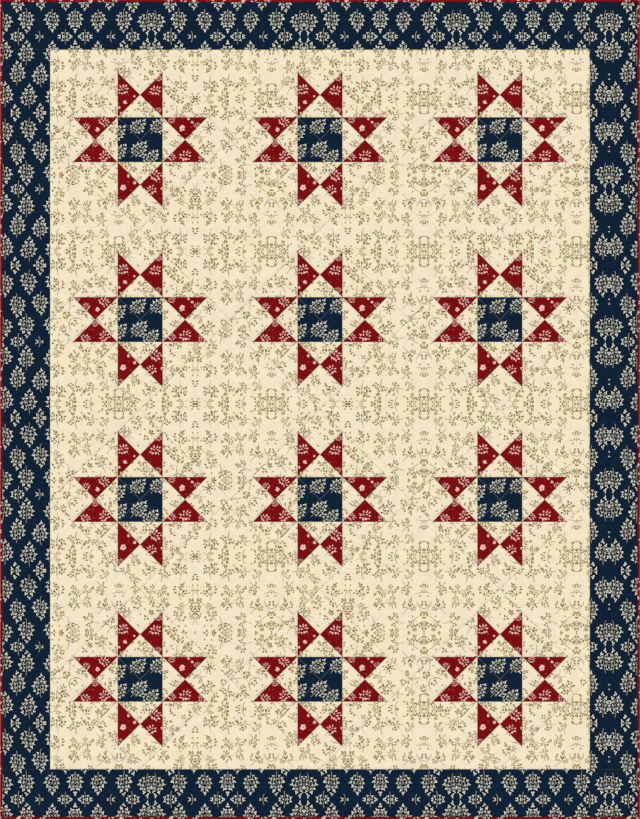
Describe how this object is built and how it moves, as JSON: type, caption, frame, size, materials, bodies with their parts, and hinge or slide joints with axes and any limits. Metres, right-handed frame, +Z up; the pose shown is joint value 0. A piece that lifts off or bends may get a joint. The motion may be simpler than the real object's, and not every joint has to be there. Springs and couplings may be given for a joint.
{
  "type": "pieced star quilt",
  "caption": "Flat rectangular patchwork quilt: star blocks set on point with plain setting pieces, a floral print border and a narrow binding.",
  "frame": {"origin": "middle of the quilt at the level it rests on", "axes": "+X across the quilt, +Y up its length, +Z up out of its face"},
  "size_m": [1.5344, 1.9656, 0.0036],
  "materials": {
    "star_patchwork": "pieced printed cotton in navy, red and cream, matt",
    "cream_print": "cream cotton with small tossed olive sprigs, matt",
    "navy_print": "navy cotton with cream and taupe bouquets, matt",
    "red_print": "deep red cotton with small pale sprigs, matt"
  },
  "bodies": {
    "root": {"star_block_1_1": "star_patchwork", "star_block_1_2": "star_patchwork", "star_block_1_3": "star_patchwork", "star_block_2_1": "star_patchwork", "star_block_2_2": "star_patchwork", "star_block_2_3": "star_patchwork", "star_block_3_1": "star_patchwork", "star_block_3_2": "star_patchwork", "star_block_3_3": "star_patchwork", "star_block_4_1": "star_patchwork", "star_block_4_2": "star_patchwork", "star_block_4_3": "star_patchwork", "setting_square_1_1": "cream_print", "setting_square_1_2": "cream_print", "setting_square_2_1": "cream_print", "setting_square_2_2": "cream_print", "setting_square_3_1": "cream_print", "setting_square_3_2": "cream_print", "side_triangle_top_1": "cream_print", "side_triangle_top_2": "cream_print", "side_triangle_bottom_1": "cream_print", "side_triangle_bottom_2": "cream_print", "side_triangle_left_1": "cream_print", "side_triangle_left_2": "cream_print", "side_triangle_left_3": "cream_print", "side_triangle_right_1": "cream_print", "side_triangle_right_2": "cream_print", "side_triangle_right_3": "cream_print", "corner_triangle_top_left": "cream_print", "corner_triangle_top_right": "cream_print", "corner_triangle_bottom_left": "cream_print", "corner_triangle_bottom_right": "cream_print", "border_top": "navy_print", "border_bottom": "navy_print", "border_left": "navy_print", "border_right": "navy_print", "binding_top": "red_print", "binding_bottom": "red_print", "binding_left": "red_print", "binding_right": "red_print"}
  },
  "joints": []
}
